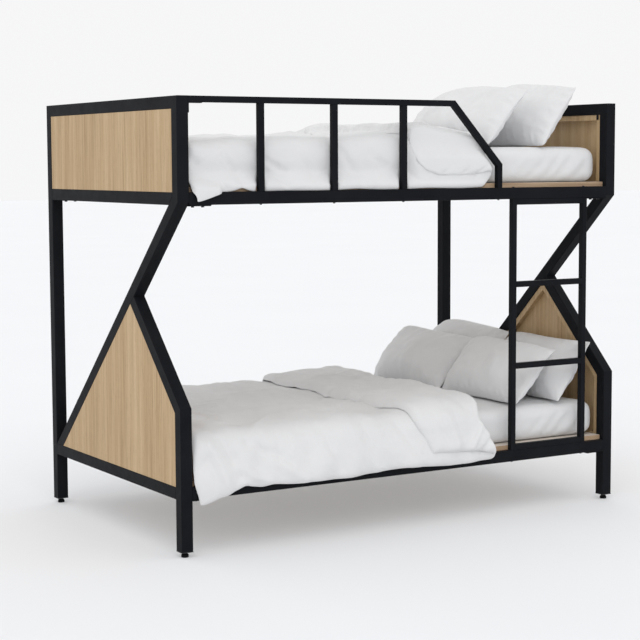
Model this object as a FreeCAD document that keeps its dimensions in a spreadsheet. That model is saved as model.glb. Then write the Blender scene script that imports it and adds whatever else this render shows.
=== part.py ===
import FreeCAD, Part
import Sketcher
import math
import os

# Bunk bed with a ladder: two welded end frames of square tube with wood panels, four side rails
# bolted between them, two boarded decks with mattresses and bedding, a guard rail and a ladder on
# the front side, and four levelling feet.
#
# Millimetres. X runs along the bed, from the foot end (-X) to the head end (+X). Y runs across it,
# from the front side with the ladder (-Y) to the back (+Y). Z is up, and the origin is on the
# floor, under the middle of the bed.

DIMENSIONS = {
    # the frame
    "bed_length": 2194.0,
    "bed_width": 1310.0,
    "frame_top": 1800.0,
    "tube": 50.0,
    "tube_wall": 2.0,
    "tube_round": 3.0,
    "upper_rail_bottom": 1380.0,
    "lower_rail_bottom": 227.0,
    "diagonal_inset": 34.0,
    "front_leg_top": 590.0,
    # panels in the end frames, held by beads on their inner side
    "panel_thick": 18.0,
    "panel_recess": 1.0,
    "bead_wide": 24.0,
    "bead_thick": 26.0,
    "clip_in": 12.0,
    "clip_wide": 12.0,
    "clip_tall": 22.0,
    "clip_thick": 3.0,
    # decks and their cross bars
    "deck_thick": 20.0,
    "deck_setback": 25.0,
    "cross_bar": 30.0,
    "cross_bar_wall": 1.5,
    # guard rail and ladder
    "small_tube": 25.0,
    "small_wall": 1.5,
    "small_round": 2.0,
    "guard_corner": 212.0,
    "guard_end": 463.0,
    "guard_end_height": 1532.0,
    "ladder_left": 519.0,
    "ladder_right": 937.0,
    # shoes under the rail ends
    "shoe_long": 95.0,
    "shoe_thick": 4.5,
    "bracket_long": 60.0,
    "bracket_drop": 40.0,
    "bracket_thick": 3.0,
    # fasteners
    "bolt_shank": 7.8,
    "bolt_hole": 8.6,
    "bolt_head_radius": 7.0,
    "bolt_head_tall": 5.0,
    "bolt_long": 16.0,
    "nut_tall": 6.5,
    "thin_shank": 5.8,
    "thin_hole": 6.6,
    "thin_head_radius": 5.0,
    "thin_head_tall": 3.5,
    "insert_tall": 24.0,
    # levelling feet
    "leg_bottom": 20.5,
    "plug_flange": 3.0,
    "plug_deep": 20.0,
    "foot_radius": 15.0,
    "foot_pad_tall": 13.0,
    "foot_neck_radius": 12.0,
    "foot_stem_radius": 4.0,
    "foot_stem_top": 58.0,
    "stem_hole": 8.8,
    "lock_nut_radius": 11.0,
    "lock_nut_tall": 5.0,
    # mattresses
    "mattress_long": 2000.0,
    "mattress_wide": 1200.0,
    "mattress_thick": 153.5,
    "mattress_foot_gap": 69.0,
    "mattress_round": 38.0,
    "soft_gap": 0.5,
    # duvets
    "duvet_thick": 50.0,
    "duvet_fold_thick": 40.0,
    "duvet_end_gap": 7.0,
    "duvet_fold_start": -60.0,
    "upper_duvet_end": 395.0,
    "lower_duvet_end": 430.0,
    "lower_duvet_hem": 250.0,
    "lower_duvet_reach": 690.0,
    # pillows
    "pillow_tall": 300.0,
    "pillow_thick": 140.0,
    "pillow_round": 65.0,
}

CROSS_BAR_PLACES = (-628.0, -209.0, 209.0, 628.0)
BALUSTER_PLACES = (-725.0, -384.0, -45.0)
RUNG_COUNT = 4
SHOE_BOLT_PLACES = (26.0, 70.0)

document = FreeCAD.newDocument("bunk_bed")
nodes = []


class Size:
    """A length that knows both its value and the expression that gives it."""

    def __init__(self, value, text=None):
        self.value = float(value)
        self.text = repr(float(value)) if text is None else text

    def __add__(self, other):
        other = as_size(other)
        return Size(self.value + other.value, f"({self.text} + {other.text})")

    def __sub__(self, other):
        other = as_size(other)
        return Size(self.value - other.value, f"({self.text} - {other.text})")

    def __mul__(self, other):
        other = as_size(other)
        return Size(self.value * other.value, f"({self.text} * {other.text})")

    def __truediv__(self, other):
        other = as_size(other)
        return Size(self.value / other.value, f"({self.text} / {other.text})")

    def __neg__(self):
        return Size(-self.value, f"(0 - {self.text})")


def as_size(thing):
    return thing if isinstance(thing, Size) else Size(thing)


def root(size):
    return Size(math.sqrt(size.value), f"sqrt({size.text})")


def make_sheet():
    """The driving dimensions, one row each, with the name as its cell's alias."""
    sheet = document.addObject("Spreadsheet::Sheet", "Dimensions")
    for row, (name, value) in enumerate(DIMENSIONS.items(), start=1):
        sheet.set(f"A{row}", name)
        sheet.set(f"B{row}", str(value))
        sheet.setAlias(f"B{row}", name)
    document.recompute()
    return {name: Size(value, f"Dimensions.{name}") for name, value in DIMENSIONS.items()}


dim = make_sheet()
layout = document.addObject("App::VarSet", "Layout")


def derive(name, size):
    """Keeps a worked-out length under its own name, so that later expressions stay short."""
    layout.addProperty("App::PropertyFloat", name)
    layout.setExpression(name, size.text)
    return Size(size.value, f"Layout.{name}")


half_length = derive("half_length", dim["bed_length"] / 2)
half_width = derive("half_width", dim["bed_width"] / 2)
inner_x = derive("inner_x", half_length - dim["tube"])
inner_y = derive("inner_y", half_width - dim["tube"])
upper_rail_top = derive("upper_rail_top", dim["upper_rail_bottom"] + dim["tube"])
lower_rail_top = derive("lower_rail_top", dim["lower_rail_bottom"] + dim["tube"])
top_rail_bottom = derive("top_rail_bottom", dim["frame_top"] - dim["tube"])
tube_foot = derive("tube_foot", dim["leg_bottom"] + dim["plug_flange"])
deck_edge = derive("deck_edge", half_width - dim["deck_setback"])

# The diagonal's upper face runs from the underside of the middle rail, a little inside the front
# post, down to the corner between the back post and the low rail. The brace rises at 45 degrees
# from the top of the front leg and stops against the diagonal's lower face.
fall = derive(
    "fall",
    (dim["upper_rail_bottom"] - lower_rail_top) / (inner_y * 2 - dim["diagonal_inset"]),
)
drop = derive("drop", dim["tube"] * root(fall * fall + 1))
brace_drop = derive("brace_drop", dim["tube"] * math.sqrt(2))


def diagonal_upper(y):
    return lower_rail_top + (inner_y - y) * fall


def diagonal_lower(y):
    return diagonal_upper(y) - drop


def meeting(start_height):
    """Where a 45 degree line that leaves the front face at start_height meets the diagonal."""
    along = (diagonal_lower(-half_width) - start_height) / (fall + 1)
    return along - half_width, start_height + along


POST_OUTER = (-half_width, derive("post_outer_z", diagonal_lower(-half_width)))
POST_INNER = (-inner_y, derive("post_inner_z", diagonal_upper(-inner_y)))
LEG_OUTER = (-half_width, dim["front_leg_top"])
LEG_INNER = (
    -inner_y,
    derive("leg_inner_z", dim["front_leg_top"] - brace_drop + dim["tube"]),
)
notch_y, notch_z = meeting(dim["front_leg_top"])
NOTCH = (derive("notch_y", notch_y), derive("notch_z", notch_z))
apex_y, apex_z = meeting(dim["front_leg_top"] - brace_drop)
APEX = (derive("apex_y", apex_y), derive("apex_z", apex_z))
heel_y = inner_y - drop / fall
HEEL = (derive("heel_y", heel_y), lower_rail_top)


# ---------------------------------------------------------------- building blocks


def keep(piece):
    """Lists a finished sub-part, which is exported under its Label."""
    nodes.append(piece)
    return piece


def new_body(label):
    piece = document.addObject("PartDesign::Body", label)
    piece.Label = label
    return piece


def sketch_on(piece, role, name, offset=None):
    """An empty sketch on one of the body's own origin planes, moved along its normal by offset."""
    sketch = piece.newObject("Sketcher::SketchObject", name)
    plane = next(f for f in piece.Origin.OriginFeatures if f.Role == role)
    sketch.AttachmentSupport = [(plane, "")]
    sketch.MapMode = "FlatFace"
    if offset is not None:
        sketch.setExpression("AttachmentOffset.Base.z", offset.text)
    return sketch


def polygon(sketch, corners):
    """A closed outline, each corner held by its two coordinates."""
    first = sketch.GeometryCount
    count = len(corners)
    points = [FreeCAD.Vector(across.value, up.value, 0) for across, up in corners]
    for i in range(count):
        sketch.addGeometry(Part.LineSegment(points[i], points[(i + 1) % count]))
    for i in range(count):
        following = first + (i + 1) % count
        sketch.addConstraint(Sketcher.Constraint("Coincident", first + i, 2, following, 1))
    for i, (across, up) in enumerate(corners):
        for kind, size in (("DistanceX", across), ("DistanceY", up)):
            held = sketch.addConstraint(Sketcher.Constraint(kind, first + i, 1, size.value))
            sketch.setExpression(f"Constraints[{held}]", size.text)


def circles(sketch, centres, diameter):
    """Round holes, each held by its centre and its diameter."""
    for across, up in centres:
        centre = FreeCAD.Vector(across.value, up.value, 0)
        round_one = Part.Circle(centre, FreeCAD.Vector(0, 0, 1), diameter.value / 2)
        number = sketch.addGeometry(round_one)
        held = (
            ("DistanceX", (number, 3), across),
            ("DistanceY", (number, 3), up),
            ("Diameter", (number,), diameter),
        )
        for kind, where, size in held:
            index = sketch.addConstraint(Sketcher.Constraint(kind, *where, size.value))
            sketch.setExpression(f"Constraints[{index}]", size.text)


def place(piece, x=None, y=None, z=None):
    for axis, size in (("x", x), ("y", y), ("z", z)):
        if size is not None:
            piece.setExpression(f"Placement.Base.{axis}", size.text)


def slab(label, role, outline, start, thick):
    """An outline drawn in the YZ or XZ plane and padded by thick, from start towards + X or + Y."""
    piece = new_body(label)
    sketch = sketch_on(piece, role, "Outline")
    polygon(sketch, outline)
    pad = piece.newObject("PartDesign::Pad", "Pad")
    pad.Profile = sketch
    pad.Reversed = role == "XZ_Plane"
    pad.setExpression("Length", thick.text)
    place(piece, **{"x" if role == "YZ_Plane" else "y": start})
    document.recompute()
    return piece


def blend_edges(piece, chosen, radius):
    """Rounds the edges of the body's tip that chosen(edge) picks."""
    tip = piece.Tip
    names = [f"Edge{i}" for i, edge in enumerate(tip.Shape.Edges, start=1) if chosen(edge)]
    fillet = piece.newObject("PartDesign::Fillet", "Fillet")
    fillet.Base = (tip, names)
    fillet.setExpression("Radius", radius.text)
    document.recompute()


def cut(piece, sketch, name, length=None, backwards=False):
    """A pocket of the given depth, or right through, that must take something away."""
    before = piece.Tip.Shape.Volume
    pocket = piece.newObject("PartDesign::Pocket", name)
    pocket.Profile = sketch
    pocket.Reversed = backwards
    if length is None:
        pocket.Type = "ThroughAll"
        pocket.Midplane = True
    else:
        pocket.setExpression("Length", length.text)
    document.recompute()
    if not pocket.Shape.Volume < before - 1.0:
        raise ValueError(f"{name} in {piece.Label} cut nothing")


def core_of(outline, wall, section):
    """The bore's side view: the same ends, with the long sides one wall further in."""
    share = wall / section

    def towards(one, other):
        return tuple(a + (b - a) * share for a, b in zip(one, other))

    start_a, end_a, end_b, start_b = outline
    return (
        towards(start_a, start_b),
        towards(end_a, end_b),
        towards(end_b, end_a),
        towards(start_b, start_a),
    )


def tube(label, role, outline, start, section, wall, round_size, core=None):
    """A square tube from its side view. outline goes along one long side and back the other."""
    piece = slab(label, role, outline, start, section)
    run = [outline[1][i].value - outline[0][i].value for i in (0, 1)]
    way = FreeCAD.Vector(0, *run) if role == "YZ_Plane" else FreeCAD.Vector(run[0], 0, run[1])
    way.normalize()

    def is_long(edge):
        ends = edge.Vertexes[-1].Point - edge.Vertexes[0].Point
        return ends.Length > section.value and abs(ends.normalize().dot(way)) > 0.9999

    blend_edges(piece, is_long, round_size)
    outward = -wall if role == "XZ_Plane" else wall
    sketch = sketch_on(piece, role, "Bore", outward)
    polygon(sketch, core or core_of(outline, wall, section))
    cut(piece, sketch, "BorePocket", section - wall * 2, role == "YZ_Plane")
    return piece


def big_tube(label, role, outline, start, core=None):
    sizes = (dim["tube"], dim["tube_wall"], dim["tube_round"])
    return tube(label, role, outline, start, *sizes, core=core)


def small_tube(label, outline):
    sizes = (dim["small_tube"], dim["small_wall"], dim["small_round"])
    return tube(label, "XZ_Plane", outline, -half_width, *sizes)


def drill(piece, centres, diameter):
    """Upright holes through the whole of a body; centres are in the body's own X and Y."""
    sketch = sketch_on(piece, "XY_Plane", "Holes")
    circles(sketch, centres, diameter)
    cut(piece, sketch, "HolePocket")


def group(label, members):
    """Several separate solids that share one node."""
    compound = document.addObject("Part::Compound", label)
    compound.Label = label
    compound.Links = members
    return keep(compound)


def box_outline(left, right, bottom, top):
    return ((left, bottom), (right, bottom), (right, top), (left, top))


def rounded_block(label, long, wide, tall, radius):
    """A block with every edge rounded, centred on its own origin in X and Y and standing on it."""
    half = long / 2
    piece = slab(label, "XZ_Plane", box_outline(-half, half, Size(0), tall), -wide / 2, wide)
    blend_edges(piece, lambda edge: True, radius)
    return piece


def cylinder(name, radius, height, x, y, z):
    piece = document.addObject("Part::Cylinder", name)
    piece.setExpression("Radius", radius.text)
    piece.setExpression("Height", height.text)
    place(piece, x, y, z)
    return piece


def hexagon(name, radius, height, x, y, z):
    piece = document.addObject("Part::Prism", name)
    piece.Polygon = 6
    piece.setExpression("Circumradius", radius.text)
    piece.setExpression("Height", height.text)
    place(piece, x, y, z)
    return piece


def joined(kind, name, base, tool):
    """Part::Fuse or Part::Cut of two shapes."""
    result = document.addObject(kind, name)
    result.Base = base
    result.Tool = tool
    return result


# ---------------------------------------------------------------- end frames


def end_frame(end, start):
    """Eight tubes of one end frame. start is the X of the face that is nearer to - X."""
    wide_core = box_outline(
        -inner_y,
        inner_y,
        dim["upper_rail_bottom"] + dim["tube_wall"],
        upper_rail_top - dim["tube_wall"],
    )
    outlines = {
        "upper_front_post": (
            POST_OUTER,
            (-half_width, dim["frame_top"]),
            (-inner_y, top_rail_bottom),
            POST_INNER,
        ),
        "back_post": (
            (inner_y, tube_foot),
            (inner_y, top_rail_bottom),
            (half_width, dim["frame_top"]),
            (half_width, tube_foot),
        ),
        "top_rail": (
            (-half_width, dim["frame_top"]),
            (half_width, dim["frame_top"]),
            (inner_y, top_rail_bottom),
            (-inner_y, top_rail_bottom),
        ),
        "middle_rail": (
            (dim["diagonal_inset"] - inner_y, dim["upper_rail_bottom"]),
            (inner_y, dim["upper_rail_bottom"]),
            (inner_y, upper_rail_top),
            (-inner_y, upper_rail_top),
            POST_INNER,
        ),
        "low_rail": box_outline(-inner_y, inner_y, dim["lower_rail_bottom"], lower_rail_top),
        "front_leg": (
            (-half_width, tube_foot),
            LEG_OUTER,
            LEG_INNER,
            (-inner_y, tube_foot),
        ),
        "diagonal": (POST_INNER, (inner_y, lower_rail_top), HEEL, POST_OUTER),
        "brace": (LEG_OUTER, NOTCH, APEX, LEG_INNER),
    }
    for name, outline in outlines.items():
        core = wide_core if name == "middle_rail" else None
        keep(big_tube(f"{end}_{name}", "YZ_Plane", outline, start, core))


UPPER_PANEL = box_outline(-inner_y, inner_y, upper_rail_top, top_rail_bottom)
LOWER_PANEL = ((-inner_y, lower_rail_top), HEEL, APEX, LEG_INNER)


def inset(name, corners, amount):
    """The corners of the same outline, drawn amount further in. The outline runs anticlockwise."""
    moved = []
    count = len(corners)
    for i, (y, z) in enumerate(corners):
        (before_y, before_z), (after_y, after_z) = corners[i - 1], corners[(i + 1) % count]
        come = (y - before_y, z - before_z)
        leave = (after_y - y, after_z - z)
        lengths = [root(a * a + b * b) for a, b in (come, leave)]
        come = [part / lengths[0] for part in come]
        leave = [part / lengths[1] for part in leave]
        turn = derive(f"{name}_turn_{i}", come[0] * leave[1] - come[1] * leave[0])
        shift = [(leave[k] - come[k]) * amount / turn for k in (0, 1)]
        moved.append(
            (derive(f"{name}_y_{i}", y + shift[0]), derive(f"{name}_z_{i}", z + shift[1]))
        )
    return moved


def panels_and_beads(end, panel_start, bead_start):
    """The two wood panels of one end, and the mitred beads that hold them on their inner side."""
    beads = []
    for level, corners in (("upper", UPPER_PANEL), ("lower", LOWER_PANEL)):
        name = f"{end}_{level}_panel"
        keep(slab(name, "YZ_Plane", corners, panel_start, dim["panel_thick"]))
        inner = inset(f"{end}_{level}", corners, dim["bead_wide"])
        count = len(corners)
        for i in range(count):
            after = (i + 1) % count
            strip = (corners[i], corners[after], inner[after], inner[i])
            bead = slab(f"{name}_bead_{i}", "YZ_Plane", strip, bead_start, dim["bead_thick"])
            beads.append(bead)
    group(f"{end}_panel_beads", beads)


def panel_clips(foot_start, head_start):
    """A small steel clip on the bead near both top corners of each upper panel."""
    clips = []
    for end, start in (("foot", foot_start), ("head", head_start)):
        for side in (-1, 1):
            edge = inner_y - dim["clip_in"]
            left = -edge if side < 0 else edge - dim["clip_wide"]
            outline = box_outline(
                left,
                left + dim["clip_wide"],
                top_rail_bottom - dim["clip_tall"],
                top_rail_bottom,
            )
            name = f"{end}_clip_{'front' if side < 0 else 'back'}"
            clips.append(slab(name, "YZ_Plane", outline, start, dim["clip_thick"]))
    group("panel_clips", clips)


# ---------------------------------------------------------------- side rails, decks and shoes

LEVELS = {
    "upper": (dim["upper_rail_bottom"], upper_rail_top),
    "lower": (dim["lower_rail_bottom"], lower_rail_top),
}
LADDER_STILES = (dim["ladder_left"], dim["ladder_right"] - dim["small_tube"])
GUARD_FEET = tuple(Size(x) for x in BALUSTER_PLACES) + (
    dim["guard_end"] - dim["small_tube"] / 2,
)
small_middle = derive("small_middle", dim["small_tube"] / 2)
thin_bolt_y = derive("thin_bolt_y", small_middle - half_width)


def shoe_bolt_places():
    """X of the bolts under one side rail: two through the shoe at each of its ends."""
    return [(inner_x - along) * side for side in (-1, 1) for along in SHOE_BOLT_PLACES]


def side_rails():
    """Front and back rails of both bunks, drilled for the bolts that go through them."""
    for level, (bottom, top) in LEVELS.items():
        for side, start in (("front", -half_width), ("back", inner_y)):
            outline = box_outline(-inner_x, inner_x, bottom, top)
            rail = big_tube(f"{level}_{side}_rail", "XZ_Plane", outline, start)
            middle = dim["tube"] / 2
            shoe_holes = [(x, middle) for x in shoe_bolt_places()]
            sketch_bottom_holes(rail, shoe_holes, bottom)
            if side == "front":
                stiles = [x + small_middle for x in LADDER_STILES]
                through = stiles + (list(GUARD_FEET) if level == "upper" else [])
                drill(rail, [(x, small_middle) for x in through], dim["thin_hole"])
            keep(rail)


def sketch_bottom_holes(rail, centres, bottom):
    """Holes through the rail's lower wall only, for the shoe bolts."""
    sketch = sketch_on(rail, "XY_Plane", "ShoeHoles", bottom)
    circles(sketch, centres, dim["bolt_hole"])
    cut(rail, sketch, "ShoeHolePocket", dim["tube_wall"], True)


def decks():
    """A board on the rails of each bunk, and the bars that carry it between the rails."""
    for level, (_, top) in LEVELS.items():
        bars = []
        for number, x in enumerate(CROSS_BAR_PLACES, start=1):
            outline = box_outline(-inner_y, inner_y, top - dim["cross_bar"], top)
            sizes = (dim["cross_bar"], dim["cross_bar_wall"], dim["small_round"])
            start = Size(x) - dim["cross_bar"] / 2
            bars.append(tube(f"{level}_bar_{number}", "YZ_Plane", outline, start, *sizes))
        group(f"{level}_cross_bars", bars)
        outline = box_outline(-inner_x, inner_x, top, top + dim["deck_thick"])
        keep(slab(f"{level}_deck", "XZ_Plane", outline, -deck_edge, deck_edge * 2))


def rail_fixings():
    """Shoes under the rail ends, with two bolts and nuts each."""
    shoes, bolts, nuts = [], [], []
    middle = dim["tube"] / 2
    for level, (bottom, _) in LEVELS.items():
        under = derive(f"{level}_shoe_bottom", bottom - dim["shoe_thick"])
        inside = derive(f"{level}_wall_top", bottom + dim["tube_wall"])
        for side, start in (("front", -half_width), ("back", inner_y)):
            for end in (-1, 1):
                left = -inner_x if end < 0 else inner_x - dim["shoe_long"]
                name = f"{level}_{side}_{'foot' if end < 0 else 'head'}_shoe"
                outline = box_outline(left, left + dim["shoe_long"], under, bottom)
                shoe = slab(name, "XZ_Plane", outline, start, dim["tube"])
                places = [(inner_x - along) * end for along in SHOE_BOLT_PLACES]
                drill(shoe, [(x, middle) for x in places], dim["bolt_hole"])
                shoes.append(shoe)
                for number, x in enumerate(places):
                    tag = f"{name}_{number}"
                    y = start + middle
                    bolts.append(shoe_bolt(tag, x, y, under))
                    nuts.append(shoe_nut(tag, x, y, inside))
    group("rail_shoes", shoes)
    group("rail_bolts", bolts)
    group("rail_nuts", nuts)


def shoe_bolt(tag, x, y, seat):
    """A hexagon bolt with its head under seat and its shank going up."""
    head_bottom = seat - dim["bolt_head_tall"]
    head = hexagon(f"{tag}_head", dim["bolt_head_radius"], dim["bolt_head_tall"], x, y, head_bottom)
    shank_radius = dim["bolt_shank"] / 2
    length = dim["bolt_head_tall"] + dim["bolt_long"]
    shank = cylinder(f"{tag}_shank", shank_radius, length, x, y, head_bottom)
    return joined("Part::Fuse", f"{tag}_bolt", head, shank)


def shoe_nut(tag, x, y, seat):
    body = hexagon(f"{tag}_nut_body", dim["bolt_head_radius"], dim["nut_tall"], x, y, seat)
    bore = cylinder(f"{tag}_nut_bore", dim["bolt_hole"] / 2, dim["nut_tall"], x, y, seat)
    return joined("Part::Cut", f"{tag}_nut", body, bore)


# ---------------------------------------------------------------- guard rail and ladder

guard_low = derive("guard_low", dim["frame_top"] - dim["small_tube"])
guard_fall = derive(
    "guard_fall",
    (dim["frame_top"] - dim["guard_end_height"]) / (dim["guard_end"] - dim["guard_corner"]),
)
guard_drop = derive("guard_drop", dim["small_tube"] * root(guard_fall * guard_fall + 1))
# inner corners, where the lower faces of the sloped tube and its neighbours cross
GUARD_TOP_INNER = (
    derive("guard_top_x", dim["guard_corner"] + (dim["small_tube"] - guard_drop) / guard_fall),
    guard_low,
)
GUARD_END_INNER = (
    dim["guard_end"] - dim["small_tube"],
    derive(
        "guard_end_z",
        dim["guard_end_height"] + guard_fall * dim["small_tube"] - guard_drop,
    ),
)


def guard_rail():
    top_corner = (dim["guard_corner"], dim["frame_top"])
    end_corner = (dim["guard_end"], dim["guard_end_height"])
    keep(
        small_tube(
            "guard_top_rail",
            ((-inner_x, dim["frame_top"]), top_corner, GUARD_TOP_INNER, (-inner_x, guard_low)),
        )
    )
    keep(
        small_tube("guard_slope", (top_corner, end_corner, GUARD_END_INNER, GUARD_TOP_INNER))
    )
    keep(
        small_tube(
            "guard_end_post",
            (
                (dim["guard_end"], upper_rail_top),
                end_corner,
                GUARD_END_INNER,
                (dim["guard_end"] - dim["small_tube"], upper_rail_top),
            ),
        )
    )
    balusters = []
    for number, x in enumerate(BALUSTER_PLACES, start=1):
        left = Size(x) - small_middle
        outline = upright(left, upper_rail_top, guard_low)
        balusters.append(small_tube(f"baluster_{number}", outline))
    group("guard_balusters", balusters)
    keep(guard_bracket())


def upright(left, bottom, top):
    """The side view of an upright small tube."""
    right = left + dim["small_tube"]
    return ((left, bottom), (left, top), (right, top), (right, bottom))


def guard_bracket():
    """An angle under the foot end of the guard's top rail, screwed to the foot post."""
    thick = dim["bracket_thick"]
    outline = (
        (-inner_x, guard_low),
        (-inner_x, guard_low - dim["bracket_drop"]),
        (thick - inner_x, guard_low - dim["bracket_drop"]),
        (thick - inner_x, guard_low - thick),
        (dim["bracket_long"] - inner_x, guard_low - thick),
        (dim["bracket_long"] - inner_x, guard_low),
    )
    return slab("guard_bracket", "XZ_Plane", outline, -half_width, dim["small_tube"])


def ladder():
    """Two stiles between the front rails, with four rungs between the stiles."""
    bottom, top = lower_rail_top, dim["upper_rail_bottom"]
    for name, left in zip(("left", "right"), LADDER_STILES):
        keep(small_tube(f"ladder_{name}_stile", upright(left, bottom, top)))
    pitch = derive("rung_pitch", (top - bottom - dim["small_tube"]) / (RUNG_COUNT - 1))
    rungs = []
    for number in range(RUNG_COUNT):
        low = bottom + pitch * number
        left = dim["ladder_left"] + dim["small_tube"]
        outline = box_outline(left, LADDER_STILES[1], low, low + dim["small_tube"])
        rungs.append(small_tube(f"rung_{number + 1}", outline))
    group("ladder_rungs", rungs)


def tube_fixings():
    """Threaded inserts in the ends of the small tubes, with a long bolt through the rail each."""
    inserts, bolts = [], []
    upper_feet = [("guard", x, upper_rail_top, 1) for x in GUARD_FEET]
    ladder_x = [x + small_middle for x in LADDER_STILES]
    lower_feet = [("stile_foot", x, lower_rail_top, 1) for x in ladder_x]
    heads = [("stile_head", x, dim["upper_rail_bottom"], -1) for x in ladder_x]
    for number, (name, x, seat, way) in enumerate(upper_feet + lower_feet + heads):
        tag = f"{name}_{number}"
        inserts.append(tube_insert(tag, x, seat, way))
        bolts.append(long_bolt(tag, x, seat, way))
    group("tube_inserts", inserts)
    group("tube_bolts", bolts)


def tube_insert(tag, x, seat, way):
    """A square plug inside the tube's end. way is 1 where the tube rises from its seat."""
    half = dim["small_tube"] / 2 - dim["small_wall"] - 0.1
    low = seat if way > 0 else seat - dim["insert_tall"]
    outline = box_outline(x - half, x + half, low, low + dim["insert_tall"])
    plug = slab(f"{tag}_insert", "XZ_Plane", outline, thin_bolt_y - half, half * 2)
    drill(plug, [(x, half)], dim["thin_hole"])
    return plug


def long_bolt(tag, x, seat, way):
    """A bolt through both walls of a side rail, up or down into the insert beyond it."""
    rail_side = seat - dim["tube"] if way > 0 else seat + dim["tube"]
    head_low = rail_side - dim["thin_head_tall"] if way > 0 else rail_side
    reach = dim["tube"] + dim["insert_tall"]
    shank_low = rail_side if way > 0 else rail_side - reach
    sizes = (dim["thin_head_radius"], dim["thin_head_tall"])
    head = hexagon(f"{tag}_head", *sizes, x, thin_bolt_y, head_low)
    shank = cylinder(f"{tag}_shank", dim["thin_shank"] / 2, reach, x, thin_bolt_y, shank_low)
    return joined("Part::Fuse", f"{tag}_bolt", head, shank)


# ---------------------------------------------------------------- levelling feet

leg_middle_x = derive("leg_middle_x", half_length - dim["tube"] / 2)
leg_middle_y = derive("leg_middle_y", half_width - dim["tube"] / 2)
LEGS = {
    "foot_front": (-leg_middle_x, -leg_middle_y),
    "foot_back": (-leg_middle_x, leg_middle_y),
    "head_front": (leg_middle_x, -leg_middle_y),
    "head_back": (leg_middle_x, leg_middle_y),
}


def leg_ends():
    """A flanged plug and a lock nut under each leg, and the foot that screws through them."""
    plugs, nuts = [], []
    for leg, (x, y) in LEGS.items():
        plugs.append(leg_plug(leg, x, y))
        low = dim["leg_bottom"] - dim["lock_nut_tall"]
        body = hexagon(
            f"{leg}_lock_body", dim["lock_nut_radius"], dim["lock_nut_tall"], x, y, low
        )
        bore = cylinder(f"{leg}_lock_bore", dim["stem_hole"] / 2, dim["lock_nut_tall"], x, y, low)
        nuts.append(joined("Part::Cut", f"{leg}_lock_nut", body, bore))
        keep(levelling_foot(f"{leg}_levelling_foot", x, y))
    group("leg_plugs", plugs)
    group("lock_nuts", nuts)


def leg_plug(leg, x, y):
    """A plug inside the leg with a flange as wide as the tube under it, drilled for the stem."""
    half = dim["tube"] / 2
    inner = half - dim["tube_wall"] - 0.1
    floor = dim["leg_bottom"]
    outline = (
        (-half, floor),
        (half, floor),
        (half, tube_foot),
        (-half, tube_foot),
    )
    plug = slab(f"{leg}_plug", "XZ_Plane", outline, Size(0), dim["tube"])
    sketch = sketch_on(plug, "XZ_Plane", "Spigot", -(half - inner))
    polygon(sketch, box_outline(-inner, inner, tube_foot, tube_foot + dim["plug_deep"]))
    pad = plug.newObject("PartDesign::Pad", "SpigotPad")
    pad.Profile = sketch
    pad.Reversed = True
    pad.setExpression("Length", (inner * 2).text)
    document.recompute()
    drill(plug, [(Size(0), half)], dim["stem_hole"])
    place(plug, x, y - half)
    return plug


def levelling_foot(label, x, y):
    """A turned foot: a round pad on the floor, a neck, and a stem that screws into the leg."""
    piece = new_body(label)
    sketch = sketch_on(piece, "XZ_Plane", "Profile")
    pad_top = dim["foot_pad_tall"]
    neck_top = pad_top + 2.5
    polygon(
        sketch,
        (
            (Size(0), Size(0)),
            (dim["foot_radius"], Size(0)),
            (dim["foot_radius"], pad_top - 4),
            (dim["foot_neck_radius"], pad_top),
            (dim["foot_stem_radius"], neck_top),
            (dim["foot_stem_radius"], dim["foot_stem_top"]),
            (Size(0), dim["foot_stem_top"]),
        ),
    )
    turned = piece.newObject("PartDesign::Revolution", "Turned")
    turned.Profile = sketch
    turned.ReferenceAxis = (sketch, ["V_Axis"])
    turned.Angle = 360.0
    place(piece, x, y)
    document.recompute()
    return piece


# ---------------------------------------------------------------- mattresses and bedding


def mattresses():
    for level, (_, top) in LEVELS.items():
        sizes = (dim["mattress_long"], dim["mattress_wide"], dim["mattress_thick"])
        piece = rounded_block(f"{level}_mattress", *sizes, dim["mattress_round"])
        middle = dim["mattress_foot_gap"] + dim["mattress_long"] / 2 - inner_x
        place(piece, x=middle, z=top + dim["deck_thick"] + dim["soft_gap"])
        keep(piece)


def mirrored(front):
    """An outline that starts on the front side and comes back through its mirror image."""
    return tuple(front) + tuple((-y, z) for y, z in reversed(front))


def duvets():
    """Two duvets over the mattresses, folded back on themselves towards the head end.

    The upper one hangs between its mattress and the guard rail and stops above the deck. The
    lower one hangs outside its side rails.
    """
    edge = dim["mattress_wide"] / 2 + 3.0
    gap = dim["soft_gap"] * 2
    deck = dim["deck_thick"]

    top = upper_rail_top + deck
    under = top + gap + dim["mattress_thick"]
    over = under + dim["duvet_thick"]
    skirt = deck_edge - 2.0
    upper = mirrored(
        [
            (-edge, under),
            (-edge, top + 2.0),
            (-skirt, top + 2.0),
            (-skirt, over - 45.0),
            (-edge, over),
        ]
    )
    duvet("upper_duvet", upper, dim["upper_duvet_end"], edge, over)

    under = lower_rail_top + deck + gap + dim["mattress_thick"]
    over = under + dim["duvet_thick"]
    hem = dim["lower_duvet_hem"]
    inside = half_width + 4.0
    lower = mirrored(
        [
            (-edge, under),
            (-inside, lower_rail_top + deck + 3.0),
            (-inside, hem),
            (-dim["lower_duvet_reach"], hem),
            (-dim["lower_duvet_reach"], hem + 80.0),
            (-(edge + 30.0), over),
        ]
    )
    duvet("lower_duvet", lower, dim["lower_duvet_end"], edge, over)


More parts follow.
